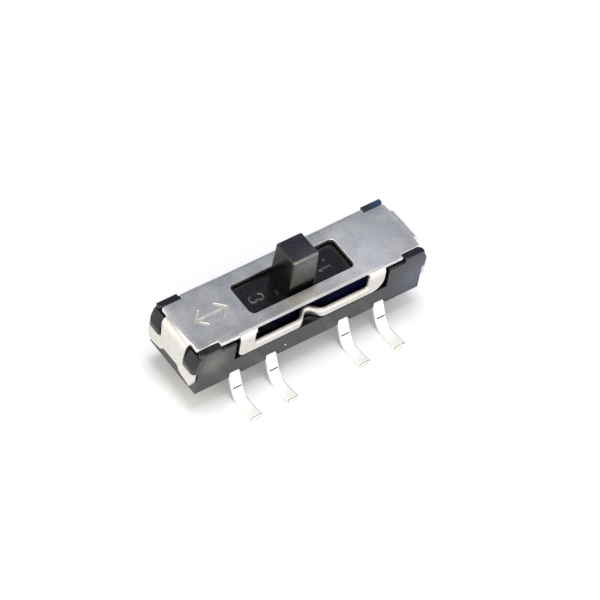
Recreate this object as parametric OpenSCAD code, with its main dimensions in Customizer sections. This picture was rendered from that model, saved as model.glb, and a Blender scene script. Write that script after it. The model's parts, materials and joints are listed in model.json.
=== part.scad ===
// Sub-miniature surface-mount slide switch: three positions, two rows of four
// gull-wing terminals, a moulded housing and a stamped spring-steel cover.
// Frame: X along the knob's travel, Y across, Z up from the board that the feet stand on.

/* [Housing] */
// Length of the housing between its end faces
housing_l = 12.4; // [12:0.1:16]
// Width of the housing across its side faces
housing_w = 3.55; // [3.5:0.05:4.5]
// Height of the housing's underside above the board
housing_lift = 1.16; // [1:0.02:1.8]
// Height of the base block, from the underside to the ledge under the cover
base_h = 1.22; // [1.1:0.02:1.6]
// Thickness of the floor
floor_t = 0.3; // [0.26:0.02:0.5]
// Thickness of the side walls
side_wall_t = 0.4; // [0.3:0.05:0.45]
// Thickness of the end walls
end_wall_t = 0.4; // [0.3:0.05:0.6]
// How far the corner lugs stand out over the ends of the cover
lug_reach = 0.3; // [0.22:0.01:0.4]
// Height of the upright face of a corner lug
lug_face_h = 0.32; // [0.2:0.02:0.4]
// Upright corner radius of a corner lug
lug_corner_r = 0.25; // [0.1:0.01:0.25]
// Gap between the flange and the end block beside it
recess_gap = 0.2; // [0.1:0.02:0.3]

/* [Cover] */
// Thickness of the sheet
sheet_t = 0.2; // [0.12:0.01:0.25]
// Height of the cover's top above the housing's ledge
cover_rise = 1.41; // [1.36:0.01:1.6]
// Outer radius of the bends along the sides
side_bend_r = 0.3; // [0.28:0.01:0.36]
// Outer radius of the bends at the ends
end_bend_r = 0.3; // [0.28:0.01:0.4]
// Length of each side flange
flange_l = 8; // [7.6:0.1:8.4]
// Small lower corner radius of a side flange
flange_corner_r = 0.3; // [0.1:0.05:0.4]
// Large lower corner radius of a side flange
flange_round_r = 0.7; // [0.4:0.05:0.8]
// Width of the top plate beside the flanges
plate_w = 3.28; // [3.2:0.02:3.36]
// Width of the top plate at its four ears
ear_w = 2.84; // [2.6:0.02:2.9]
// Length of the ears' notches, back from the ends of the top plate
notch_l = 1.1; // [0.9:0.05:1.2]
// Corner radius of the ears
ear_corner_r = 0.12; // [0.04:0.02:0.2]
// Width of the neck above each crossbar
neck_w = 1.7; // [1.4:0.02:1.8]
// Width of the crossbar below each neck
crossbar_w = 3.46; // [3.2:0.02:3.48]
// Height of the crossbar's upper edge above its feet
crossbar_h = 0.93; // [0.8:0.01:1]
// Depth of the travel mark pressed into the top plate
mark_depth = 0.03; // [0.01:0.01:0.05]

/* [Spring arms] */
// Height of a spring arm
arm_h = 0.44; // [0.34:0.02:0.5]
// Length of the slot above a spring arm
slot_l = 6.2; // [5.6:0.1:6.6]
// Corner radius of the slot
slot_corner_r = 0.1; // [0.04:0.02:0.12]
// How deep a detent vee is pressed in
vee_depth = 0.45; // [0.4:0.01:0.48]
// Slope of the vee's flanks
vee_angle = 45; // [35:1:50]
// Centre-line radius of the vee's shoulders
vee_shoulder_r = 0.45; // [0.25:0.05:0.5]
// Centre-line radius of the vee's tip
vee_tip_r = 0.35; // [0.15:0.05:0.4]

/* [Slider] */
// Height of the knob's top above the cover
knob_h = 1.94; // [1.2:0.02:3]
// Length of the knob where it leaves the cover
knob_l = 1.5; // [1.2:0.02:1.6]
// Width of the knob where it leaves the cover
knob_w = 1.5; // [1.2:0.02:1.6]
// How much each side of the knob leans in up to its top
knob_draft = 0.05; // [0:0.01:0.1]
// Radius of the knob's rounded edges
knob_edge_r = 0.1; // [0.05:0.01:0.2]
// Thickness of the slider's shutter plate
shutter_t = 0.22; // [0.16:0.02:0.3]
// Width of the slider's block
block_w = 2.2; // [2.1:0.02:2.2]
// Depth of the detent notches in the sides of the block
detent_depth = 0.22; // [0.1:0.02:0.24]

/* [Contacts] */
// Distance between neighbouring terminals, and between the knob's positions
pitch = 2; // [1.9:0.05:2.1]
// Width of a terminal
lead_w = 0.58; // [0.4:0.02:0.7]
// Thickness of a terminal
lead_t = 0.16; // [0.12:0.01:0.2]
// Distance between the tips of opposite terminals
span_w = 7.3; // [7.1:0.1:8.4]
// Slope of a terminal's leg from the level
leg_angle = 62; // [55:1:70]
// Inner radius of a terminal's upper bend
knee_r = 0.12; // [0.06:0.01:0.14]
// Upper radius of the bend into the foot
foot_bend_r = 0.62; // [0.4:0.02:0.7]
// Length of the flat stretch under a foot
foot_flat_l = 0.33; // [0.25:0.01:0.5]
// Upper radius of the curve into the raised toe
toe_r = 1.6; // [1:0.1:2]
// Slope of the toe
toe_angle = 15; // [5:1:20]
// Gap between neighbouring contact pads
pad_gap = 0.26; // [0.2:0.02:0.4]
// Width of a contact pad
pad_w = 0.6; // [0.5:0.02:0.64]
// Width of a contact clip
clip_w = 0.5; // [0.3:0.02:0.5]
// Thickness of a contact clip
clip_t = 0.1; // [0.06:0.01:0.14]

/* [Clearances] */
// Between the cover and the housing
cover_gap = 0.03; // [0.02:0.01:0.05]
// Between the slider and what it runs in or under
run_gap = 0.1; // [0.05:0.01:0.12]
// Between the slider's block and the detent vees, and the wipers and their pads
touch_gap = 0.03; // [0.02:0.01:0.04]
// Between a terminal and the housing that is moulded round it
mould_gap = 0.01; // [0:0.005:0.02]
// Between the knob and each end of the window at the end of its travel
window_end_gap = 0.1; // [0.05:0.01:0.2]
// Between the knob and each side of the window
window_side_gap = 0.17; // [0.05:0.01:0.2]

/* [Hidden] */
arc_step = 7.5;
eps = 0.01;
cut_over = 1;

// Levels
block_sink = 0.05;
post_sink = 0.04;
crossbar_rise = 0.18;
floor_z = housing_lift + floor_t;
ledge_z = housing_lift + base_h;
cover_top_z = ledge_z + cover_rise;
plate_under_z = cover_top_z - sheet_t;
flange_foot_z = ledge_z + cover_gap;
arm_top_z = flange_foot_z + arm_h;
block_top_z = plate_under_z - cover_gap - block_sink;
post_top_z = cover_top_z - post_sink;
knob_top_z = cover_top_z + knob_h;
shutter_top_z = plate_under_z - run_gap;
shutter_under_z = shutter_top_z - shutter_t;
slider_foot_z = floor_z + 0.6 * run_gap;

// Housing plan
half_l = housing_l / 2;
half_w = housing_w / 2;
cavity_l = housing_l - 2 * end_wall_t;
cavity_w = housing_w - 2 * side_wall_t;
end_block_x = flange_l / 2 + recess_gap;

// Cover plan: the side flanges lie flush with the housing's side faces
end_face_x = half_l + cover_gap + sheet_t;
plate_end_x = end_face_x - end_bend_r;
plate_corner_r = 0.06;
neck_flare = 0.06;
neck_lap = 0.2;
notch_x = plate_end_x - notch_l;
window_l = knob_l + 2 * (pitch + window_end_gap);
window_w = knob_w + 2 * window_side_gap;
window_corner_r = 0.25;
slot_top_angle = 4 * arc_step;
mark_l = 1.7;
mark_head = 0.42;
mark_w = 0.13;
mark_x = (window_l / 2 + plate_end_x) / 2 - 0.05;

// Crossbar and its feet
crossbar_top_z = ledge_z + crossbar_rise;
crossbar_foot_z = crossbar_top_z - crossbar_h;
crossbar_cut = 0.2;
foot_inner_y = 0.72;
arch_half_w = 0.52;
arch_h = 0.41;
foot_rise = 0.16;

// Corner lugs and posts
lug_foot_z = crossbar_top_z + cover_gap;
lug_face_z = lug_foot_z + lug_face_h;
lug_tip_x = half_l + lug_reach;
lug_inner_y = neck_w / 2 + neck_flare + cover_gap;
post_inset = 0.05;
post_w = half_w - ear_w / 2 - cover_gap;
post_end_gap = 0.04;
post_inner_x = notch_x + post_end_gap;
post_outer_x = half_l - post_inset;
post_root_h = 0.4;

// Detent vee, from the slope and radii of its centre line
vee_flank = (vee_depth - (vee_shoulder_r + vee_tip_r) * (1 - cos(vee_angle))) / sin(vee_angle);
vee_half_l = (vee_shoulder_r + vee_tip_r) * sin(vee_angle) + vee_flank * cos(vee_angle);
vee_inner_y = half_w - sheet_t - vee_depth;
vee_lap = 0.05;

// Slider: its shutter plate hides the housing's inside as far as the travel allows
shutter_l = cavity_l - 2 * (pitch + run_gap);
shutter_w = cavity_w - 2 * run_gap;
block_half_w = min(block_w / 2, vee_inner_y - touch_gap);
detent_half_l = vee_half_l * 0.8;
block_step = 0.1;
block_l = shutter_l - 2 * block_step;
clip_end_l = 0.35;
clip_l = pitch + 2 * clip_end_l;
clip_pocket_gap = 0.05;
clip_pocket_wall_t = 0.2;
clip_y = block_half_w - clip_pocket_wall_t - clip_pocket_gap - clip_w / 2;
clip_seat_h = 0.55;
clip_seat_z = floor_z + clip_seat_h;
clip_shoulder_x = 0.45;
wiper_flat_l = 0.12;
wiper_tip_rise = 0.2;

// Terminals
lead_places = [-2 * pitch, -pitch, pitch, 2 * pitch];
pad_y = clip_y;
knee_out_r = knee_r + lead_t;
foot_start_z = lead_t + foot_bend_r * (1 - cos(leg_angle));
leg_drop = floor_z - knee_out_r * (1 - cos(leg_angle)) - foot_start_z;
leg_l = leg_drop / sin(leg_angle);
toe_reach = toe_r * sin(toe_angle);
toe_tip_l = 0.25;
foot_flat_y = span_w / 2 - lead_t * sin(toe_angle) - toe_tip_l * cos(toe_angle) - toe_reach
              - foot_flat_l;
knee_y = foot_flat_y - foot_bend_r * sin(leg_angle) - leg_l * cos(leg_angle)
         - knee_out_r * sin(leg_angle);
lead_score_l = 0.8 * lead_w;
lead_score_w = 0.07;
lead_score_depth = 0.04;
lead_score_rise = 0.06;
relief_side_gap = 0.03;

// --- Flat helpers -------------------------------------------------------------------------

// Points along an arc
function arc(centre, r, from, to) =
    let (n = ceil(abs(to - from) / arc_step))
    [for (i = [0 : n]) let (a = from + (to - from) * i / n) centre + r * [cos(a), sin(a)]];

// The same points in the opposite order
function reversed(points) = [for (i = [len(points) - 1 : -1 : 0]) points[i]];

// A centred rectangle with round corners
module rounded_rect(l, w, r) {
    x = l / 2 - r;
    y = w / 2 - r;
    polygon(concat(
        arc([x, y], r, 0, 90),
        arc([-x, y], r, 90, 180),
        arc([-x, -y], r, 180, 270),
        arc([x, -y], r, 270, 360)
    ));
}

// A straight band with round ends
module stroke(from, to, w) {
    run = to - from;
    heading = atan2(run[1], run[0]);
    polygon(concat(
        arc(to, w / 2, heading - 90, heading + 90),
        arc(from, w / 2, heading + 90, heading + 270)
    ));
}

// Stands an outline drawn in Y and Z upright and gives it a length along X
module along_x(from, to) {
    translate([from, 0, 0])
        rotate([90, 0, 90])
            linear_extrude(height = to - from)
                children();
}

// Stands an outline drawn in X and Z upright and gives it a width along Y
module along_y(from, to) {
    translate([0, to, 0])
        rotate([90, 0, 0])
            linear_extrude(height = to - from)
                children();
}

// Repeats its children at both ends, the far one turned half a turn
module both_ends() {
    children();
    rotate([0, 0, 180])
        children();
}

// Repeats its children mirrored to all four corners
module four_corners() {
    for (x = [0, 1], y = [0, 1])
        mirror([x, 0, 0])
            mirror([0, y, 0])
                children();
}

// --- Housing ------------------------------------------------------------------------------

// Side view of a corner lug: an upright face over the crossbar, then a slope
module lug_outline() {
    polygon([
        [end_block_x, lug_foot_z],
        [lug_tip_x, lug_foot_z],
        [lug_tip_x, lug_face_z],
        [half_l, block_top_z],
        [end_block_x, block_top_z]
    ]);
}

module corner_lug() {
    intersection() {
        along_y(lug_inner_y, half_w)
            lug_outline();
        translate([0, 0, housing_lift])
            linear_extrude(height = block_top_z - housing_lift)
                rounded_rect(2 * lug_tip_x, housing_w, lug_corner_r);
    }
}

// A rib that rises through the notch in the cover's corner, flush with the side face
module corner_post() {
    r = post_w / 2;
    inner_y = half_w - post_w + r;
    translate([0, 0, block_top_z - post_root_h])
        linear_extrude(height = post_top_z - block_top_z + post_root_h)
            polygon(concat(
                [[post_outer_x, half_w], [post_inner_x, half_w]],
                arc([post_inner_x + r, inner_y], r, 180, 270),
                arc([post_outer_x - r, inner_y], r, 270, 360)
            ));
}

module end_block() {
    translate([end_block_x, -half_w, housing_lift])
        cube([half_l - end_block_x, housing_w, block_top_z - housing_lift]);
}

// The shape that a terminal fills inside the housing, with the gap around it
module terminal_void() {
    g = mould_gap;
    translate([-lead_w / 2 - g, pad_y, floor_z - lead_t - g])
        cube([lead_w + 2 * g, half_w - pad_y, lead_t + 2 * g]);
    translate([-lead_w / 2 - relief_side_gap, knee_y - g, housing_lift - eps])
        cube([lead_w + 2 * relief_side_gap, half_w - knee_y + cut_over, floor_t + 2 * eps]);
}

module pad_void(place) {
    g = mould_gap;
    low = pad_low(place);
    translate([low - g, pad_y - pad_w / 2 - g, floor_z - lead_t - g])
        cube([pad_high(place) - low + 2 * g, pad_w + 2 * g, lead_t + 2 * g]);
}

module housing() {
    color([0.3, 0.3, 0.33])
        difference() {
            union() {
                translate([-half_l, -half_w, housing_lift])
                    cube([housing_l, housing_w, base_h]);
                for (side = [0, 1])
                    mirror([side, 0, 0])
                        end_block();
                four_corners() {
                    corner_lug();
                    corner_post();
                }
            }
            translate([-cavity_l / 2, -cavity_w / 2, floor_z])
                cube([cavity_l, cavity_w, cover_top_z]);
            for (side = [0, 1], place = lead_places)
                mirror([0, side, 0]) {
                    translate([place, 0, 0])
                        terminal_void();
                    pad_void(place);
                }
        }
}

// --- Cover --------------------------------------------------------------------------------

// Section across the cover: top plate, and a bend and a flange on each side
module cover_section() {
    y = half_w - side_bend_r;
    z = cover_top_z - side_bend_r;
    inner_r = side_bend_r - sheet_t;
    polygon(concat(
        [[half_w, flange_foot_z]],
        arc([y, z], side_bend_r, 0, 90),
        arc([-y, z], side_bend_r, 90, 180),
        [[-half_w, flange_foot_z]],
        [[-half_w + sheet_t, flange_foot_z]],
        arc([-y, z], inner_r, 180, 90),
        arc([y, z], inner_r, 90, 0),
        [[half_w - sheet_t, flange_foot_z]]
    ));
}

// Outline of a flange in X and Z, its lower corners rounded
module flange_outline() {
    l = flange_l / 2;
    small = flange_corner_r;
    large = flange_round_r;
    polygon(concat(
        [[l, cover_top_z + eps]],
        [[-l, cover_top_z + eps]],
        arc([-l + small, flange_foot_z + small], small, 180, 270),
        arc([l - large, flange_foot_z + large], large, 270, 360)
    ));
}

// Plan of the top plate, with its ears and their notches, as far as the bends
module plate_plan() {
    difference() {
        union() {
            rounded_rect(2 * notch_x, plate_w, plate_corner_r);
            rounded_rect(2 * plate_end_x, ear_w, ear_corner_r);
        }
        for (side = [0, 1])
            mirror([0, side])
                translate([-flange_l / 2, half_w - side_bend_r])
                    square([flange_l, side_bend_r]);
    }
}

// Slot above a spring arm: it runs up into the bend and is cut square to the sheet there
module slot_void() {
    flat_w = half_w - side_bend_r;
    centre_z = cover_top_z - side_bend_r;
    slot_h = centre_z + side_bend_r * cos(slot_top_angle) - arm_top_z;
    intersection() {
        along_x(-slot_l / 2, slot_l / 2)
            polygon([
                [flat_w, centre_z],
                [flat_w + cut_over * tan(slot_top_angle), centre_z + cut_over],
                [half_w + cut_over, centre_z + cut_over],
                [half_w + cut_over, arm_top_z - cut_over],
                [flat_w, arm_top_z - cut_over]
            ]);
        translate([0, 0, arm_top_z + slot_h / 2])
            along_y(flat_w, half_w + cut_over)
                rounded_rect(slot_l, slot_h, slot_corner_r);
    }
}

// One side of the vee's sheet in plan, at a distance from its centre line
function vee_side(offset) =
    let (face_y = half_w - sheet_t / 2,
         shoulder_y = face_y - vee_shoulder_r,
         tip = [0, face_y - vee_depth + vee_tip_r])
    concat(
        [[vee_half_l + vee_lap, face_y + offset]],
        arc([vee_half_l, shoulder_y], vee_shoulder_r + offset, 90, 90 + vee_angle),
        arc(tip, vee_tip_r - offset, -90 + vee_angle, -90 - vee_angle),
        arc([-vee_half_l, shoulder_y], vee_shoulder_r + offset, 90 - vee_angle, 90),
        [[-vee_half_l - vee_lap, face_y + offset]]
    );

// A spring arm's vee, in place of the straight stretch that it was pressed from
module vee() {
    translate([0, 0, flange_foot_z])
        linear_extrude(height = arm_h)
            polygon(concat(vee_side(sheet_t / 2), reversed(vee_side(-sheet_t / 2))));
}

module vee_window() {
    translate([-vee_half_l, half_w - sheet_t - eps, flange_foot_z - eps])
        cube([2 * vee_half_l, sheet_t + cut_over, arm_h + 2 * eps]);
}

// Side view of the bend and neck at one end
module neck_section() {
    bend = [plate_end_x, cover_top_z - end_bend_r];
    polygon(concat(
        [[plate_end_x - neck_lap, cover_top_z]],
        arc(bend, end_bend_r, 90, 0),
        [[end_face_x, crossbar_top_z - neck_lap]],
        [[end_face_x - sheet_t, crossbar_top_z - neck_lap]],
        arc(bend, end_bend_r - sheet_t, 0, 90),
        [[plate_end_x - neck_lap, plate_under_z]]
    ));
}

// End view of the neck, a little wider at the bend than above the crossbar
module neck_outline() {
    polygon([
        [-neck_w / 2, crossbar_top_z - neck_lap],
        [neck_w / 2, crossbar_top_z - neck_lap],
        [neck_w / 2, crossbar_top_z],
        [neck_w / 2 + neck_flare, cover_top_z - end_bend_r],
        [neck_w / 2 + neck_flare, cover_top_z + eps],
        [-neck_w / 2 - neck_flare, cover_top_z + eps],
        [-neck_w / 2 - neck_flare, cover_top_z - end_bend_r],
        [-neck_w / 2, crossbar_top_z]
    ]);
}

// End view of the crossbar: an arch between two feet
module crossbar_outline() {
    half = crossbar_w / 2;
    for (side = [0, 1])
        mirror([side, 0])
            polygon([
                [-eps, crossbar_foot_z + arch_h],
                [arch_half_w, crossbar_foot_z + arch_h],
                [foot_inner_y, crossbar_foot_z + foot_rise],
                [half - crossbar_cut, crossbar_foot_z],
                [half, crossbar_foot_z + 2 * crossbar_cut],
                [half, crossbar_top_z],
                [-eps, crossbar_top_z]
            ]);
}

// A double-headed arrow along the travel, pressed between the window and one end
module travel_mark() {
    tip = mark_l / 2;
    translate([-mark_x, 0, cover_top_z - mark_depth])
        linear_extrude(height = cut_over) {
            stroke([-tip, 0], [tip, 0], mark_w);
            for (end = [-1, 1], side = [-1, 1])
                stroke([end * tip, 0], [end * (tip - mark_head), side * mark_head], mark_w);
        }
}

// The folded sheet before its window, slots and mark are cut
module cover_blank() {
    intersection() {
        along_x(-flange_l / 2, flange_l / 2)
            cover_section();
        union() {
            along_y(0, half_w + cut_over)
                mirror([1, 0])
                    flange_outline();
            along_y(-half_w - cut_over, eps)
                flange_outline();
        }
    }
    translate([0, 0, plate_under_z])
        linear_extrude(height = sheet_t)
            plate_plan();
    both_ends() {
        intersection() {
            along_y(-half_w, half_w)
                neck_section();
            along_x(0, end_face_x + eps)
                neck_outline();
        }
        along_x(end_face_x - sheet_t, end_face_x)
            crossbar_outline();
    }
}

module cover() {
    color([0.78, 0.77, 0.75])
        union() {
            difference() {
                cover_blank();
                translate([0, 0, plate_under_z - cut_over])
                    linear_extrude(height = sheet_t + 2 * cut_over)
                        rounded_rect(window_l, window_w, window_corner_r);
                both_ends() {
                    slot_void();
                    vee_window();
                }
                travel_mark();
            }
            both_ends()
                vee();
        }
}

// --- Slider -------------------------------------------------------------------------------

// Knob with rounded edges, leaning in a little towards its top
module knob() {
    r = knob_edge_r;
    low_z = shutter_under_z + r;
    hull()
        for (x = [-1, 1], y = [-1, 1]) {
            translate([x * (knob_l / 2 - r), y * (knob_w / 2 - r), low_z])
                sphere(r = r, $fn = 32);
            translate([x * (knob_l / 2 - knob_draft - r), y * (knob_w / 2 - knob_draft - r),
                       knob_top_z - r])
                sphere(r = r, $fn = 32);
        }
}

// Row of vee notches that the spring arms click into, one for each position
module detent_notches() {
    for (place = [-pitch, 0, pitch])
        translate([place, 0, 0])
            polygon([
                [-detent_half_l, block_half_w + eps],
                [-detent_half_l, block_half_w],
                [0, block_half_w - detent_depth],
                [detent_half_l, block_half_w],
                [detent_half_l, block_half_w + eps]
            ]);
}

module slider() {
    color([0.16, 0.16, 0.17])
        difference() {
            union() {
                translate([-shutter_l / 2, -shutter_w / 2, shutter_under_z])
                    cube([shutter_l, shutter_w, shutter_t]);
                translate([-block_l / 2, -block_half_w, slider_foot_z])
                    cube([block_l, 2 * block_half_w, shutter_under_z - slider_foot_z + eps]);
                knob();
            }
            for (side = [0, 1])
                mirror([0, side, 0]) {
                    translate([0, 0, flange_foot_z - run_gap])
                        linear_extrude(height = arm_h + 2 * run_gap)
                            detent_notches();
                    translate([-clip_l / 2 - clip_pocket_gap,
                               clip_y - clip_w / 2 - clip_pocket_gap, 0])
                        cube([clip_l + 2 * clip_pocket_gap, clip_w + 2 * clip_pocket_gap,
                              clip_seat_z]);
                }
        }
}

// --- Contacts -----------------------------------------------------------------------------

// Side view of a clip: a flat middle, and at each end a wiper bent down onto the pads
module clip_outline() {
    mid_z = clip_seat_z - clip_t / 2;
    low_z = floor_z + touch_gap + clip_t / 2;
    heel_x = pitch / 2 - wiper_flat_l / 2;
    ball_x = pitch / 2 + wiper_flat_l / 2;
    for (side = [0, 1])
        mirror([side, 0]) {
            stroke([0, mid_z], [clip_shoulder_x, mid_z], clip_t);
            stroke([clip_shoulder_x, mid_z], [heel_x, low_z], clip_t);
            stroke([heel_x, low_z], [ball_x, low_z], clip_t);
            stroke([ball_x, low_z], [(clip_l - clip_t) / 2, low_z + wiper_tip_rise], clip_t);
        }
}

module contact_clip() {
    color([0.8, 0.62, 0.32])
        along_y(clip_y - clip_w / 2, clip_y + clip_w / 2)
            clip_outline();
}

// Each pad reaches from its own terminal towards the middle of the switch
function pad_low(place) =
    place < 0 ? place - lead_w / 2 : place < 1.5 * pitch ? pad_gap / 2 : pad_high(pitch) + pad_gap;
function pad_high(place) =
    place > 0 ? place + lead_w / 2 : place > -1.5 * pitch ? -pad_gap / 2 : pad_low(-pitch) - pad_gap;

// One face of a terminal in Y and Z, from its pad to its toe, at a depth below the upper face
function terminal_face(depth) =
    let (knee = [knee_y, floor_z - knee_out_r],
         heel = [foot_flat_y, lead_t + foot_bend_r],
         toe = [foot_flat_y + foot_flat_l, lead_t + toe_r])
    concat(
        [[pad_y, floor_z - depth]],
        arc(knee, knee_out_r - depth, 90, 90 - leg_angle),
        arc(heel, foot_bend_r + depth, 270 - leg_angle, 270),
        arc(toe, toe_r + depth, 270, 270 + toe_angle),
        [toe + (toe_r + depth) * [sin(toe_angle), -cos(toe_angle)]
             + toe_tip_l * [cos(toe_angle), sin(toe_angle)]]
    );

module terminal_outline() {
    polygon(concat(terminal_face(0), reversed(terminal_face(lead_t))));
}

// A scored line across the leg, where the strip was coined
module lead_score() {
    translate([0, foot_flat_y - foot_bend_r * sin(leg_angle), foot_start_z])
        rotate([-leg_angle, 0, 0])
            translate([-lead_score_l / 2, -lead_score_rise - lead_score_w, -lead_score_depth])
                cube([lead_score_l, lead_score_w, cut_over]);
}

module terminal(place) {
    color([0.9, 0.9, 0.88])
        union() {
            translate([place, 0, 0])
                difference() {
                    along_x(-lead_w / 2, lead_w / 2)
                        terminal_outline();
                    lead_score();
                }
            translate([pad_low(place), pad_y - pad_w / 2, floor_z - lead_t])
                cube([pad_high(place) - pad_low(place), pad_w, lead_t]);
        }
}

module front() {
    mirror([0, 1, 0])
        children();
}

// --- Nodes --------------------------------------------------------------------------------

housing();
cover();
slider();
front() contact_clip();  // contact_clip_front
contact_clip();  // contact_clip_back
front() terminal(lead_places[0]);  // terminal_front_1
front() terminal(lead_places[1]);  // terminal_front_2
front() terminal(lead_places[2]);  // terminal_front_3
front() terminal(lead_places[3]);  // terminal_front_4
terminal(lead_places[0]);  // terminal_back_1
terminal(lead_places[1]);  // terminal_back_2
terminal(lead_places[2]);  // terminal_back_3
terminal(lead_places[3]);  // terminal_back_4
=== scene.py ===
"""Looks of a sub-miniature surface-mount slide switch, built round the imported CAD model."""
import json
import math

import bmesh
import bpy
from mathutils import Matrix, Vector

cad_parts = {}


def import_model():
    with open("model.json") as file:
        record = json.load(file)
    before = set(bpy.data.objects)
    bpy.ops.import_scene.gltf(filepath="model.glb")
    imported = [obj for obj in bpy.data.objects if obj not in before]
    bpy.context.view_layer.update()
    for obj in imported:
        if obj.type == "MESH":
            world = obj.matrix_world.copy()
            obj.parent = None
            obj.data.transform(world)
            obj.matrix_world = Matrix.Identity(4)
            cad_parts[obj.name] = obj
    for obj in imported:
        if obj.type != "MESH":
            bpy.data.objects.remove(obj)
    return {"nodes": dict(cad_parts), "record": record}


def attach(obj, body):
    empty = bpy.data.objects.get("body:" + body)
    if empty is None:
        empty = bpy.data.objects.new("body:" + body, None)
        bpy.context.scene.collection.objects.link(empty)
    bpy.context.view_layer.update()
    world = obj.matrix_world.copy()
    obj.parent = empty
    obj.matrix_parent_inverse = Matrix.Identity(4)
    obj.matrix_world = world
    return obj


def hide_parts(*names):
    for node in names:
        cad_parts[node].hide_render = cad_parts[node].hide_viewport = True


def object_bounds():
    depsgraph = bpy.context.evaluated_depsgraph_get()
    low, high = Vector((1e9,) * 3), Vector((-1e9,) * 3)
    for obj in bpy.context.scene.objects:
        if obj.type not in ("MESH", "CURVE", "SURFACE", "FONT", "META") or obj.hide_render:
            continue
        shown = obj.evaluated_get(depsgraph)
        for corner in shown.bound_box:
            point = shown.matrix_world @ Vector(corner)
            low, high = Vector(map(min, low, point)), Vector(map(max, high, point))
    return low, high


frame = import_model()
cad_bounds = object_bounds()

MM = 0.001
NODES = frame["nodes"]
RECORD = frame["record"]
TERMINALS = sorted(name for name in NODES if name.startswith("terminal_"))
CLIPS = ["contact_clip_front", "contact_clip_back"]
BODY_OF = {node: body for body, names in RECORD["behaviour"]["bodies"].items() for node in names}
SLOT_OF = {row["node"]: row["material_slot"] for row in RECORD["subparts"]}

# Where the colours change, in millimetres. A pair is where a change starts and where it is full.
# Most of these bound painted light: highlights and shade on the cover, the knob's lighter top and
# highlit edges, blue light inside the slots and shade at the terminals' feet.
COVER_BENDS_Z = (3.3, 3.55)
PLATE_Z = (3.7, 3.78)
PLATE_EDGES = (("X", (-5.8, -6.15)), ("X", (5.8, 6.15)), ("Y", (-1.47, -1.58)))
FRONT_STRIP_Y = (-0.7, -1.15)
FRONT_STRIP_LEFT_X = (-1.4, -2.4)
BACK_STRIP_Y = (0.7, 1.5)
INSIDE_Z = (3.25, 3.1)
INSIDE_RIGHT_X = (0.3, 2.6)
KNOB_FOOT_Z = (3.52, 3.7)
KNOB_RIM_Z = (5.62, 5.68)
KNOB_TOP_Z = (5.69, 5.72)
KNOB_FRONT_Y = (-0.58, -0.64)
KNOB_CORNER_X = (0.64, 0.70)
KNOB_CORNER_Y = (-0.62, -0.68)
FOOT_Y = (2.2, 2.6)
TOE_Y = (3.0, 3.6)

# Round painted highlights on the object: centre and radius in millimetres
PLATE_GLEAM_RIGHT = ((3.4, -0.9, 4.2), 3.5)
PLATE_GLEAM_FRONT = ((-0.5, -1.35, 3.8), 1.3)
KNOB_GLEAM = ((0.3, -1.1, 5.35), 1.6)

# Painted sheen patches on the black plastic: centre, radius and colour
HOUSING_SHEENS = (
    ((-5.35, -1.8, 2.9), 1.1, (0.10, 0.094, 0.082)),
    ((5.8, -1.8, 2.3), 1.5, (0.040, 0.050, 0.085)),
    ((6.0, 1.7, 3.8), 1.2, (0.02, 0.04, 0.08)),
)
KNOB_SHEENS = ((*KNOB_GLEAM, (0.076, 0.072, 0.069)),)


# --- Materials ------------------------------------------------------------------------------

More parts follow.
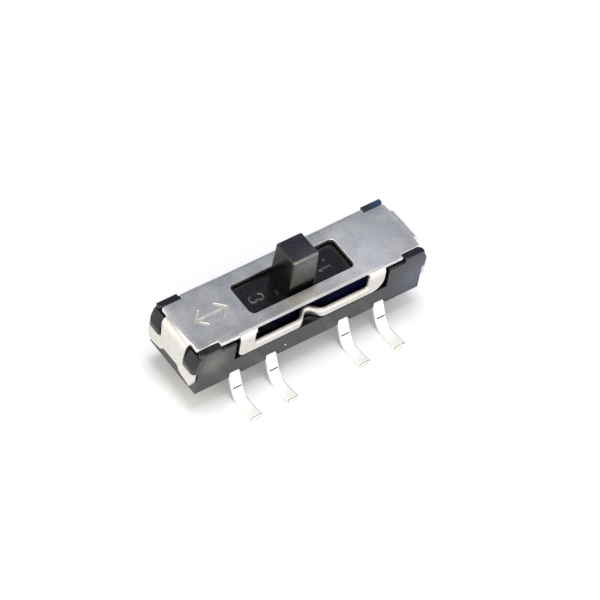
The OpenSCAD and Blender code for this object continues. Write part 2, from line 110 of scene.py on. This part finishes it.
class Shader:
    """A Principled material whose nodes are added one call at a time."""

    def __init__(self, name, **sockets):
        self.material = bpy.data.materials.new(name)
        self.material.use_nodes = True
        self.tree = self.material.node_tree
        self.surface = self.tree.nodes["Principled BSDF"]
        self.set(self.surface, **sockets)
        self.place = self.node("ShaderNodeTexCoord").outputs["Object"]

    def set(self, node, **sockets):
        for key, value in sockets.items():
            socket = node.inputs[key.replace("_", " ")]
            if isinstance(value, bpy.types.NodeSocket):
                self.tree.links.new(value, socket)
            else:
                socket.default_value = value

    def node(self, kind, props=(), **sockets):
        made = self.tree.nodes.new(kind)
        for key, value in dict(props).items():
            setattr(made, key, value)
        self.set(made, **sockets)
        return made

    def stretched(self, scale):
        """The object's coordinates, drawn out along an axis by a small scale there."""
        return self.node("ShaderNodeMapping", Vector=self.place, Scale=scale).outputs["Vector"]

    def noise(self, size_mm, detail=3, rough=0.5, stretch=(1, 1, 1)):
        """Cloudy values from 0 to 1 whose patches are about size_mm across."""
        scale = 1 / (size_mm * MM)
        made = self.node("ShaderNodeTexNoise", Vector=self.stretched([scale * s for s in stretch]),
                         Scale=1.0, Detail=detail, Roughness=rough)
        return made.outputs["Fac"]

    def spread(self, value, low, high, start=0.3, stop=0.7):
        """Maps the middle of a noise's range to low..high."""
        made = self.node("ShaderNodeMapRange", Value=value)
        made.inputs["From Min"].default_value = start
        made.inputs["From Max"].default_value = stop
        made.inputs["To Min"].default_value = low
        made.inputs["To Max"].default_value = high
        return made.outputs["Result"]

    def near(self, centre_mm, radius_mm):
        """1 at a place, falling smoothly to 0 at a distance from it."""
        away = self.node("ShaderNodeVectorMath", {"operation": "DISTANCE"})
        self.tree.links.new(self.place, away.inputs[0])
        away.inputs[1].default_value = [c * MM for c in centre_mm]
        return self.fade(away.outputs["Value"], radius_mm, 0)

    def fade(self, value, zero_mm, one_mm):
        """Turns a length into 0 at one value and 1 at another, with a soft start and end."""
        made = self.node("ShaderNodeMapRange", {"interpolation_type": "SMOOTHSTEP"}, Value=value)
        made.inputs["From Min"].default_value = zero_mm * MM
        made.inputs["From Max"].default_value = one_mm * MM
        return made.outputs["Result"]

    def along(self, axis, zero_mm, one_mm):
        """0 before one place along an axis and 1 after another."""
        apart = self.node("ShaderNodeSeparateXYZ", Vector=self.place)
        return self.fade(apart.outputs[axis], zero_mm, one_mm)

    def blend(self, amount, first, second):
        """A colour between two others."""
        made = self.node("ShaderNodeMix", {"data_type": "RGBA"})
        self.tree.links.new(amount, made.inputs[0])
        for socket, colour in ((made.inputs[6], first), (made.inputs[7], second)):
            if isinstance(colour, bpy.types.NodeSocket):
                self.tree.links.new(colour, socket)
            else:
                socket.default_value = (*colour, 1)
        return made.outputs[2]

    def bump(self, height, depth_mm, strength=1.0, under=None):
        """A bump of the given depth, on top of an earlier one."""
        made = self.node("ShaderNodeBump", Height=height, Distance=depth_mm * MM, Strength=strength)
        if under is not None:
            self.tree.links.new(under, made.inputs["Normal"])
        return made.outputs["Normal"]

    def finish(self, colour, roughness, normal=None):
        links = self.tree.links
        links.new(colour, self.surface.inputs["Base Color"])
        links.new(roughness, self.surface.inputs["Roughness"])
        if normal is not None:
            links.new(normal, self.surface.inputs["Normal"])
        return self.material


def cover_steel():
    """Rolled, plated sheet: soft clouds, faint rolling lines and a satin grain, under painted
    highlights on the bends and edges and painted shade on the top.
    """
    s = Shader("cover_steel", Metallic=1.0)
    shade = s.spread(s.noise(1.2, detail=9, rough=0.8), 0, 1)

    def clouded(dark, light):
        return s.blend(shade, dark, light)

    # Painted highlight: the bends are lighter copies of the upright sides.
    upright = clouded((0.67, 0.645, 0.605), (0.71, 0.685, 0.645))
    bends = clouded((0.78, 0.75, 0.705), (0.84, 0.805, 0.755))
    sides = s.blend(s.along("Z", *COVER_BENDS_Z), upright, bends)
    # Painted shade and reflection: the top is a darker copy of the sides, with a warm lit strip along
    # the front, darker at its left, and a darker strip behind the window.
    front_left = clouded((0.50, 0.49, 0.475), (0.56, 0.545, 0.53))
    front = s.blend(s.along("X", *FRONT_STRIP_LEFT_X), (0.63, 0.59, 0.545), front_left)
    back = clouded((0.48, 0.475, 0.48), (0.55, 0.545, 0.55))
    gleam = clouded((0.89, 0.865, 0.85), (0.98, 0.955, 0.94))
    top = clouded((0.56, 0.55, 0.55), (0.66, 0.65, 0.64))
    top = s.blend(s.along("Y", *FRONT_STRIP_Y), top, front)
    top = s.blend(s.along("Y", *BACK_STRIP_Y), top, back)
    # Painted highlights: a pale gleam on the right of the top and a cream one at its front edge.
    top = s.blend(s.near(*PLATE_GLEAM_RIGHT), top, gleam)
    top = s.blend(s.near(*PLATE_GLEAM_FRONT), top, (0.95, 0.88, 0.76))
    # Painted highlight: the top takes the bends' lighter colour near its ends and front edge.
    for axis, edge in PLATE_EDGES:
        top = s.blend(s.along(axis, *edge), top, bends)
    colour = s.blend(s.along("Z", *PLATE_Z), sides, top)
    grain = s.noise(0.11, detail=2, stretch=(0.5, 1, 1))
    colour = s.blend(s.spread(grain, 0.16, 0, 0.3, 0.5), colour, (0.30, 0.29, 0.29))
    colour = s.blend(s.spread(grain, 0, 0.16, 0.5, 0.7), colour, (0.98, 0.96, 0.93))
    roughness = s.spread(s.noise(0.9, detail=4), 0.30, 0.38)
    rolled = s.noise(0.06, detail=4, rough=0.6, stretch=(0.03, 1, 1))
    normal = s.bump(rolled, 0.0004)
    normal = s.bump(s.noise(0.03, detail=2), 0.0003, under=normal)
    normal = s.bump(s.noise(1.6, detail=1), 0.003, strength=0.6, under=normal)
    return s.finish(colour, roughness, normal)


def blotched(s, dark, light, sheens):
    """Black plastic's slow, random drift of tone, with patchy painted sheens."""
    colour = s.blend(s.spread(s.noise(1.6, detail=3), 0, 1), dark, light)
    patch = s.spread(s.noise(0.22, detail=4, rough=0.6), 0, 1)
    for centre, radius, pale in sheens:
        patchy = s.blend(patch, [0.65 * c for c in pale], [1.35 * c for c in pale])
        colour = s.blend(s.near(centre, radius), colour, patchy)
    return colour


def housing_plastic():
    """Moulded black plastic with a fine sparked grain, a slight ripple and painted sheen patches."""
    s = Shader("housing_plastic", Metallic=0.0, IOR=1.5, Specular_IOR_Level=0.5)
    colour = blotched(s, (0.002, 0.002, 0.004), (0.010, 0.011, 0.018), HOUSING_SHEENS)
    roughness = s.spread(s.noise(0.5, detail=4), 0.14, 0.22)
    normal = s.bump(s.noise(0.04, detail=3, rough=0.6), 0.0006)
    normal = s.bump(s.noise(1.1, detail=1), 0.008, strength=0.5, under=normal)
    return s.finish(colour, roughness, normal)


def slider_plastic():
    """A glossy black, mottled on the shutter; the knob has a painted sheen, a lighter painted top and
    paler front edges that are partly worn and partly painted highlight; painted dim blue light where
    it runs inside.
    """
    s = Shader("slider_plastic", Metallic=0.0, IOR=1.5, Specular_IOR_Level=0.5)
    mottle = s.noise(0.11, detail=3, rough=0.6)
    spots = s.spread(mottle, 0, 1, 0.46, 0.66)
    shutter = s.blend(spots, (0.0002, 0.0002, 0.0006), (0.012, 0.0115, 0.012))
    knob = blotched(s, (0.0015, 0.0015, 0.002), (0.005, 0.005, 0.005), KNOB_SHEENS)
    patch = s.spread(s.noise(0.12, detail=4, rough=0.6), 0, 1, 0.4, 0.6)
    # Painted reflection: the knob's top is lighter and bluer than its sides, over a real mottle, with
    # a painted gleam.
    top = s.blend(patch, (0.004, 0.004, 0.009), (0.018, 0.018, 0.026))
    top = s.blend(s.near(*KNOB_GLEAM), top, (0.05, 0.049, 0.053))
    knob = s.blend(s.along("Z", *KNOB_TOP_Z), knob, top)
    # Partly wear, partly painted highlight: the knob's front top edge and right front corner are
    # paler.
    rubbed_and_highlit = s.blend(patch, (0.12, 0.118, 0.115), (0.24, 0.235, 0.23))
    front_rim = s.blend(s.along("Y", *KNOB_FRONT_Y), knob, rubbed_and_highlit)
    knob = s.blend(s.along("Z", *KNOB_RIM_Z), knob, front_rim)
    right_corner = s.blend(s.along("Y", *KNOB_CORNER_Y), knob, rubbed_and_highlit)
    knob = s.blend(s.along("X", *KNOB_CORNER_X), knob, right_corner)
    colour = s.blend(s.along("Z", *KNOB_FOOT_Z), shutter, knob)
    # Painted light: the slots' insides are lighter and bluer than shade would leave them, bluer
    # towards the right.
    inside = s.blend(s.along("X", *INSIDE_RIGHT_X), (0.010, 0.009, 0.032), (0.012, 0.020, 0.090))
    colour = s.blend(s.along("Z", *INSIDE_Z), colour, inside)
    roughness = s.spread(s.noise(0.5, detail=4), 0.18, 0.26)
    normal = s.bump(s.noise(0.04, detail=3, rough=0.6), 0.0006)
    normal = s.bump(mottle, 0.003, under=normal)
    normal = s.bump(s.noise(1.1, detail=1), 0.008, strength=0.5, under=normal)
    return s.finish(colour, roughness, normal)


def silver_plate():
    """Soft silver plating on drawn strip, a little yellowed in places and at the toes."""
    s = Shader("terminal_silver", Metallic=0.2)
    cloud = s.noise(0.7, detail=2)
    colour = s.blend(s.spread(cloud, 0, 1, 0.4, 0.8), (0.97, 0.97, 0.965), (0.95, 0.935, 0.89))
    for side in (-1, 1):
        toe = s.along("Y", *(side * y for y in TOE_Y))
        colour = s.blend(toe, colour, (0.95, 0.93, 0.84))
    roughness = s.spread(s.noise(0.25, detail=4), 0.38, 0.5)
    normal = s.bump(s.noise(0.02, detail=3, stretch=(1, 0.08, 0.08)), 0.0006)
    normal = s.bump(s.noise(0.3, detail=2), 0.003, strength=0.5, under=normal)
    return s.finish(colour, roughness, normal)


def edge_shade_plate():
    """Silver plate along a terminal's edges, grey with painted shade at the foot."""
    s = Shader("terminal_edge_shade", Metallic=0.2)
    # Painted shade: grey along the foot's right edge and tip, where the shadow beside the foot falls.
    grey = s.blend(s.spread(s.noise(0.12, detail=4), 0, 1), (0.08, 0.08, 0.08), (0.30, 0.29, 0.27))
    colour = (0.95, 0.95, 0.945)
    for side in (-1, 1):
        foot = s.along("Y", *(side * y for y in FOOT_Y))
        colour = s.blend(foot, colour, grey)
    roughness = s.spread(s.noise(0.25, detail=4), 0.38, 0.5)
    normal = s.bump(s.noise(0.05, detail=3), 0.001)
    return s.finish(colour, roughness, normal)


def clip_bronze():
    """Sprung phosphor bronze with lines along the strip."""
    s = Shader("contact_bronze", Metallic=1.0)
    colour = s.blend(s.spread(s.noise(0.5), 0, 1), (0.83, 0.60, 0.32), (0.74, 0.50, 0.27))
    roughness = s.spread(s.noise(0.2, detail=4), 0.25, 0.4)
    normal = s.bump(s.noise(0.02, detail=3, stretch=(0.08, 1, 0.08)), 0.0008)
    return s.finish(colour, roughness, normal)


def stamped_steel():
    """The bottom of the pressed mark, paler and more matt than the sheet round it."""
    s = Shader("cover_stamped", Metallic=1.0)
    colour = s.blend(s.spread(s.noise(0.3, detail=5), 0, 1), (0.40, 0.385, 0.35), (0.62, 0.59, 0.53))
    roughness = s.spread(s.noise(0.1, detail=4), 0.5, 0.62)
    normal = s.bump(s.noise(0.05, detail=3), 0.002)
    return s.finish(colour, roughness, normal)


def rubbed_plastic():
    """The moulded figures, worn pale along their tops."""
    s = Shader("slider_rubbed", Metallic=0.0, IOR=1.5, Specular_IOR_Level=0.6)
    colour = s.blend(s.spread(s.noise(0.12, detail=3), 0, 1), (0.02, 0.02, 0.022), (0.13, 0.13, 0.135))
    roughness = s.spread(s.noise(0.1, detail=4), 0.25, 0.4)
    normal = s.bump(s.noise(0.05, detail=3), 0.002)
    return s.finish(colour, roughness, normal)


def score_shade():
    """Painted shade in the bottom of a scored line."""
    s = Shader("terminal_score_shade", Metallic=0.3)
    colour = s.blend(s.spread(s.noise(0.08), 0, 1), (0.08, 0.08, 0.085), (0.15, 0.14, 0.14))
    roughness = s.spread(s.noise(0.05, detail=4), 0.5, 0.65)
    normal = s.bump(s.noise(0.02, detail=3), 0.001)
    return s.finish(colour, roughness, normal)


def dust():
    """A pale crumb of dust."""
    s = Shader("dust", Metallic=0.0)
    colour = s.blend(s.noise(0.03), (0.75, 0.77, 0.80), (0.9, 0.9, 0.88))
    roughness = s.spread(s.noise(0.02), 0.5, 0.7)
    normal = s.bump(s.noise(0.02, detail=3), 0.002)
    return s.finish(colour, roughness, normal)


MATERIALS = {
    "cover_steel": cover_steel(),
    "housing_plastic": housing_plastic(),
    "slider_plastic": slider_plastic(),
    "terminal_silver": silver_plate(),
    "contact_bronze": clip_bronze(),
}
SCORE_SHADE = score_shade()
EDGE_SHADE = edge_shade_plate()
STAMPED = stamped_steel()
RUBBED = rubbed_plastic()
DUST = dust()


# --- Pieces ---------------------------------------------------------------------------------

# Where the radii change, in millimetres from the middle of the part and from the board
SLOT_LOW_Z, SLOT_HIGH_Z = 2.8, 3.6
SLOT_END_X = 3.2
SLOT_INSIDE_TOP_Z = 3.5
SLOT_TOP_Y = 1.3
FLANGE_Y = 1.1
NECK_X, NECK_NEAR = 4.0, 0.05
NECK_END_LOW_Y, NECK_END_HIGH_Y = 1.45, 1.66
NECK_END_Z = 3.5
MARK_X, MARK_HALF_L, MARK_HALF_W = -4.4, 1.2, 0.6
MARK_Z = 3.75
WINDOW_HALF_L, WINDOW_HALF_W = 3, 1
LUG_Z = 2.3
HOUSING_SIDE_Y = 1.5
SHUTTER_Z, KNOB_Z = 3.4, 3.6
TIP_Y = 3.5

MERGE_DISTANCE = 0.0008
ROOM_FOR_RADIUS = 1.1
FLAT_ANGLE = 1
CREASE_ANGLE = 40
STEEP_RADIANS = 1


def piece(name, bm, body, slot, material=None):
    """Makes an object of a bmesh drawn in millimetres, and lets it ride on a body.

    It takes the material of its slot, unless it has one of its own.
    """
    bmesh.ops.transform(bm, matrix=Matrix.Scale(MM, 4), verts=bm.verts)
    mesh = bpy.data.meshes.new(name)
    bm.to_mesh(mesh)
    bm.free()
    obj = bpy.data.objects.new(name, mesh)
    bpy.context.scene.collection.objects.link(obj)
    mesh.shade_smooth()
    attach(obj, body)
    mesh.materials.append(material or MATERIALS[slot])
    return obj


def reach(face, edge):
    """How far a face reaches from one of its edges."""
    start = edge.verts[0].co
    run = (edge.verts[1].co - start).normalized()
    return max((v.co - start).cross(run).length for v in face.verts)


def outer_edges(bm, angle, radius, chosen):
    """The chosen edges that stand out at more than an angle and have room for a radius.

    An edge is chosen by the place of its middle and by the way it faces.
    """
    room = ROOM_FOR_RADIUS * radius
    edges = []
    for edge in bm.edges:
        if not edge.is_convex or edge.calc_face_angle(0) <= math.radians(angle):
            continue
        place = (edge.verts[0].co + edge.verts[1].co) / 2
        facing = edge.link_faces[0].normal + edge.link_faces[1].normal
        if min(reach(face, edge) for face in edge.link_faces) > room and chosen(place, facing):
            edges.append(edge)
    return edges


def sunk(bm):
    """The faces at the bottom of a pressed or scored line, and the faces that rise from them."""

    def rises(edge):
        return not edge.is_convex and edge.calc_face_angle(0) > STEEP_RADIANS

    floors = [face for face in bm.faces if all(rises(edge) for edge in face.edges)]
    return {face for floor in floors for edge in floor.edges for face in edge.link_faces}


def crease(bm):
    """Keeps the shading of the two sides apart at corners that are still sharp."""
    for edge in bm.edges:
        edge.smooth = edge.calc_face_angle(0) < math.radians(CREASE_ANGLE)


def rounded(bm, edges, radius_mm, segments):
    """Rounds edges and gives back the faces that this makes."""
    made = bmesh.ops.bevel(bm, geom=edges, offset=radius_mm, segments=segments, profile=0.5,
                           affect="EDGES", clamp_overlap=False, miter_outer="SHARP")
    return made["faces"]


def everywhere(place, facing):
    return True


def shaded_rim(face):
    """The rounded edges of a terminal that carry painted shade: on the right, and at the tip."""
    tip = abs(face.calc_center_median().y) > TIP_Y and abs(face.normal.y) > 0.3
    return face.normal.z > 0.1 and (face.normal.x > 0.25 or tip)


def softened(node, *passes, segments=3, angle=25, sunk_material=None, rim_material=None):
    """A copy of a CAD node with its outer edges rounded, which takes the node's place.

    Each pass is a radius and a rule for the edges that it rounds. What is pressed in may have a
    material of its own, and then the edges in painted shade may have a third one.
    """
    bm = bmesh.new()
    bm.from_mesh(NODES[node].data)
    bmesh.ops.transform(bm, matrix=Matrix.Scale(1 / MM, 4), verts=bm.verts)
    bmesh.ops.remove_doubles(bm, verts=bm.verts, dist=MERGE_DISTANCE)
    flat = math.radians(FLAT_ANGLE)
    bmesh.ops.dissolve_limit(bm, angle_limit=flat, verts=bm.verts, edges=bm.edges)
    if sunk_material:
        for face in sunk(bm):
            face.material_index = 1
    for radius, chosen in passes:
        made = rounded(bm, outer_edges(bm, angle, radius, chosen), radius, segments)
        if rim_material:
            bm.normal_update()
            for face in filter(shaded_rim, made):
                face.material_index = 2
    crease(bm)
    obj = piece(node + "_dressed", bm, BODY_OF[node], SLOT_OF[node])
    for material in (sunk_material, rim_material):
        if material:
            obj.data.materials.append(material)
    keep = obj.modifiers.new("flat_faces", "WEIGHTED_NORMAL")
    keep.weight = 100
    keep.keep_sharp = True
    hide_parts(node)
    return obj


def slot_rim(place, facing):
    inside = abs(place.x) < SLOT_END_X and SLOT_LOW_Z < place.z < SLOT_HIGH_Z
    return inside and abs(place.y) > FLANGE_Y


def slot_rim_outside(place, facing):
    return slot_rim(place, facing) and facing.y * place.y > 0


def slot_rim_inside(place, facing):
    """Leaves out the edges that run up into the bend along the top."""
    return slot_rim(place, facing) and place.z < SLOT_INSIDE_TOP_Z


def mark_rim(place, facing):
    near = abs(place.x - MARK_X) < MARK_HALF_L and abs(place.y) < MARK_HALF_W
    return near and place.z > MARK_Z


def tight_corner(place, facing):
    """Where a slot or a neck runs out into the bend along the top and leaves no room for a radius."""
    slot_end = abs(place.x) < SLOT_END_X and abs(place.y) > SLOT_TOP_Y and place.z > SLOT_HIGH_Z
    neck_end = (abs(abs(place.x) - NECK_X) < NECK_NEAR and place.z > NECK_END_Z
                and NECK_END_LOW_Y < abs(place.y) < NECK_END_HIGH_Y)
    return slot_end or neck_end


def window_rim(place, facing):
    return abs(place.x) < WINDOW_HALF_L and abs(place.y) < WINDOW_HALF_W


def other_cover_edge(place, facing):
    return not any(region(place, facing) for region in (slot_rim, mark_rim, window_rim, tight_corner))


def housing_outside(place, facing):
    return place.z > LUG_Z or abs(place.y) > HOUSING_SIDE_Y


def knob_edge(place, facing):
    return place.z > KNOB_Z


def shutter_edge(place, facing):
    return SHUTTER_Z < place.z < KNOB_Z


softened("housing", (0.035, housing_outside))
softened("cover", (0.165, slot_rim_outside), (0.02, slot_rim_inside), (0.026, mark_rim),
         (0.025, window_rim), (0.05, other_cover_edge), segments=4, sunk_material=STAMPED)
softened("slider", (0.09, knob_edge), (0.03, shutter_edge), segments=4)
for clip in CLIPS:
    softened(clip, (0.012, everywhere), angle=40)
for terminal in TERMINALS:
    softened(terminal, (0.04, everywhere), sunk_material=SCORE_SHADE, rim_material=EDGE_SHADE)


def rib(bm, points, width, low, high, edge):
    """Adds a flat-topped rib along a line of points, its upper edges rounded."""
    line = [Vector((*p, 0)) for p in points]
    runs = [(b - a).normalized() for a, b in zip(line, line[1:])]
    rows = []
    for i, place in enumerate(line):
        before, after = runs[max(i - 1, 0)], runs[min(i, len(runs) - 1)]
        along = (before + after).normalized()
        out = Vector((-along.y, along.x, 0)) * width / 2 / along.dot(after)
        rows.append([bm.verts.new((place + side * out).xy.to_3d() + Vector((0, 0, z)))
                     for side, z in ((1, low), (-1, low), (-1, high), (1, high))])
    upper = []
    for first, second in zip(rows, rows[1:]):
        for j, k in ((0, 1), (1, 2), (2, 3), (3, 0)):
            face = bm.faces.new((first[j], first[k], second[k], second[j]))
            if j == 2:
                upper.append(face)
    bm.faces.new(rows[0][::-1])
    bm.faces.new(rows[-1])
    inner = {e for a, b in zip(upper, upper[1:]) for e in a.edges if e in b.edges}
    rim = {e for face in upper for e in face.edges} - inner
    bmesh.ops.recalc_face_normals(bm, faces=bm.faces)
    rounded(bm, list(rim), edge, 2)


SHUTTER_TOP = max(v.co.z for v in NODES["slider"].data.vertices if abs(v.co.x) > 1.5 * MM) / MM
BURIED = 0.02
ARC_STEPS = 10
FIGURE_WIDTH, FIGURE_HEIGHT, FIGURE_EDGE = 0.10, 0.05, 0.04


def arc_points(centre, radius, start, stop):
    """Points along an arc, with its angles in degrees."""
    angles = [math.radians(start + (stop - start) * i / ARC_STEPS) for i in range(ARC_STEPS + 1)]
    return [(centre[0] + radius * math.cos(a), centre[1] + radius * math.sin(a)) for a in angles]


def shutter_figures():
    """The moulded figures 3 and 1 on the shutter, read from the right-hand end."""
    three = (arc_points((-1.81, -0.07), 0.17, -150, 95)[::-1]
             + arc_points((-2.19, -0.07), 0.17, 85, 330)[::-1])
    one = [(2.04, -0.18), (1.40, -0.17), (1.50, -0.29)]
    for name, points in (("three", three), ("one", one)):
        bm = bmesh.new()
        rib(bm, points, FIGURE_WIDTH, SHUTTER_TOP - BURIED, SHUTTER_TOP + FIGURE_HEIGHT, FIGURE_EDGE)
        piece("numeral_" + name, bm, "slider", "slider_plastic", RUBBED)


def pin_mark(name, place, radius, height, material=None):
    """A low round mark on the shutter, its edge rounded."""
    bm = bmesh.new()
    bmesh.ops.create_cone(bm, cap_ends=True, segments=24, radius1=radius, radius2=radius,
                          depth=height + BURIED)
    middle = SHUTTER_TOP + (height - BURIED) / 2
    bmesh.ops.translate(bm, vec=(*place, middle), verts=bm.verts)
    rim = [e for e in bm.edges if min(v.co.z for v in e.verts) > SHUTTER_TOP]
    rounded(bm, rim, 0.7 * height, 3)
    piece(name, bm, "slider", "slider_plastic", material)


shutter_figures()
pin_mark("pin_mark_left", (-0.93, -0.23), 0.14, 0.04)
pin_mark("pin_mark_right", (1.91, 0.25), 0.06, 0.03, RUBBED)


def crumb(name, place, radius, body):
    """A speck of dust with a broken outline."""
    bm = bmesh.new()
    bmesh.ops.create_icosphere(bm, subdivisions=2, radius=radius)
    for i, vert in enumerate(bm.verts):
        vert.co *= 1 + 0.3 * math.sin(7 * i)
    bmesh.ops.translate(bm, vec=place, verts=bm.verts)
    piece(name, bm, body, None, DUST)


crumb("dust_speck", (-1.35, -1.79, 1.66), 0.035, "base")


# --- Studio ---------------------------------------------------------------------------------

WALLS = (1.43, 1.39, 1.30)

# Painted over the walls in turn: direction, outer and inner angle in degrees, colour
ROOM_PATCHES = (
    ((0, 0, 1), 62, 25, (0.62, 0.62, 0.62)),
    ((1, 0.2, 0.1), 70, 20, (0.82, 0.96, 1.2)),
    ((0, -1, 0.1), 60, 25, (1.8, 1.75, 1.66)),
    ((0.45, 0.46, 0.77), 56, 24, (0.33, 0.355, 0.42)),
)

FLOOR_SIZE = 3
FLOOR_WHITE_X, FLOOR_WHITE_Y, FLOOR_WHITE_RADIUS = (-7.0, 6.6), -0.6, 2.6


def floor():
    """A matt white floor, with painted light off both ends of the switch that lifts the shadow there.
    """
    bpy.ops.mesh.primitive_plane_add(size=FLOOR_SIZE)
    obj = bpy.context.object
    obj.name = "floor"
    s = Shader("floor_white", Metallic=0.0)
    colour = s.blend(s.noise(40), (0.90, 0.90, 0.90), (0.905, 0.905, 0.905))
    # Painted light: the floor is whiter near both ends of the switch, where its shadow would fall.
    for x in FLOOR_WHITE_X:
        patch = s.near((x, FLOOR_WHITE_Y, 0), FLOOR_WHITE_RADIUS)
        colour = s.blend(patch, colour, (0.99, 0.99, 0.99))
    roughness = s.spread(s.noise(20), 0.85, 0.9)
    obj.data.materials.append(s.finish(colour, roughness))


def world():
    """A white room: a softer ceiling, a window to the right, a brighter front, a grey back right."""
    scene_world = bpy.data.worlds.new("studio")
    bpy.context.scene.world = scene_world
    scene_world.use_nodes = True
    tree = scene_world.node_tree
    place = tree.nodes.new("ShaderNodeTexCoord").outputs["Generated"]

    def lobe(direction, outer, inner):
        """1 within the inner angle of a direction, falling to 0 at the outer one."""
        dot = tree.nodes.new("ShaderNodeVectorMath")
        dot.operation = "DOT_PRODUCT"
        dot.inputs[1].default_value = Vector(direction).normalized()
        tree.links.new(place, dot.inputs[0])
        ramp = tree.nodes.new("ShaderNodeMapRange")
        ramp.interpolation_type = "SMOOTHSTEP"
        ramp.inputs["From Min"].default_value = math.cos(math.radians(outer))
        ramp.inputs["From Max"].default_value = math.cos(math.radians(inner))
        tree.links.new(dot.outputs["Value"], ramp.inputs["Value"])
        return ramp.outputs["Result"]

    room = None
    for direction, outer, inner, colour in ROOM_PATCHES:
        mix = tree.nodes.new("ShaderNodeMix")
        mix.data_type = "RGBA"
        tree.links.new(lobe(direction, outer, inner), mix.inputs[0])
        mix.inputs[6].default_value = (*WALLS, 1)
        if room is not None:
            tree.links.new(room, mix.inputs[6])
        mix.inputs[7].default_value = (*colour, 1)
        room = mix.outputs[2]
    tree.links.new(room, tree.nodes["Background"].inputs["Color"])


def lamp(name, place, aim, size, power):
    """A round lamp, with its place and size in metres and its power in watts."""
    data = bpy.data.lights.new(name, "AREA")
    data.shape = "DISK"
    data.size = size
    data.energy = power
    obj = bpy.data.objects.new(name, data)
    obj.location = place
    obj.rotation_euler = (Vector(aim) - Vector(place)).to_track_quat("-Z", "Y").to_euler()
    bpy.context.scene.collection.objects.link(obj)


def camera():
    """The photograph's view: from above, over the front left corner, a little rolled."""
    azimuth, elevation, roll = (math.radians(a) for a in (-44.282, 50.171, 11.25))
    distance = 164.62 * MM
    shift_right = 0.451 * MM
    shift_up = -0.497 * MM
    level_back = Vector((math.sin(azimuth), -math.cos(azimuth), 0))
    back = level_back * math.cos(elevation) + Vector((0, 0, math.sin(elevation)))
    level = Vector((math.cos(azimuth), math.sin(azimuth), 0))
    turn = Matrix.Rotation(roll, 3, back)
    right = turn @ level
    up = turn @ back.cross(level)
    centre = (cad_bounds[0] + cad_bounds[1]) / 2
    data = bpy.data.cameras.new("camera")
    data.sensor_width = 36
    data.lens = 220.9116
    data.clip_start = 0.005
    data.clip_end = 10
    obj = bpy.data.objects.new("camera", data)
    axes = Matrix((right, up, back)).transposed().to_4x4()
    place = centre + back * distance + right * shift_right + up * shift_up
    obj.matrix_world = Matrix.Translation(place) @ axes
    bpy.context.scene.collection.objects.link(obj)
    bpy.context.scene.camera = obj


floor()
world()
lamp("overhead", (0.0, 0.03, 0.30), (0, 0, 0), 0.14, 0.46)
camera()
bpy.context.scene.view_settings.view_transform = "Standard"
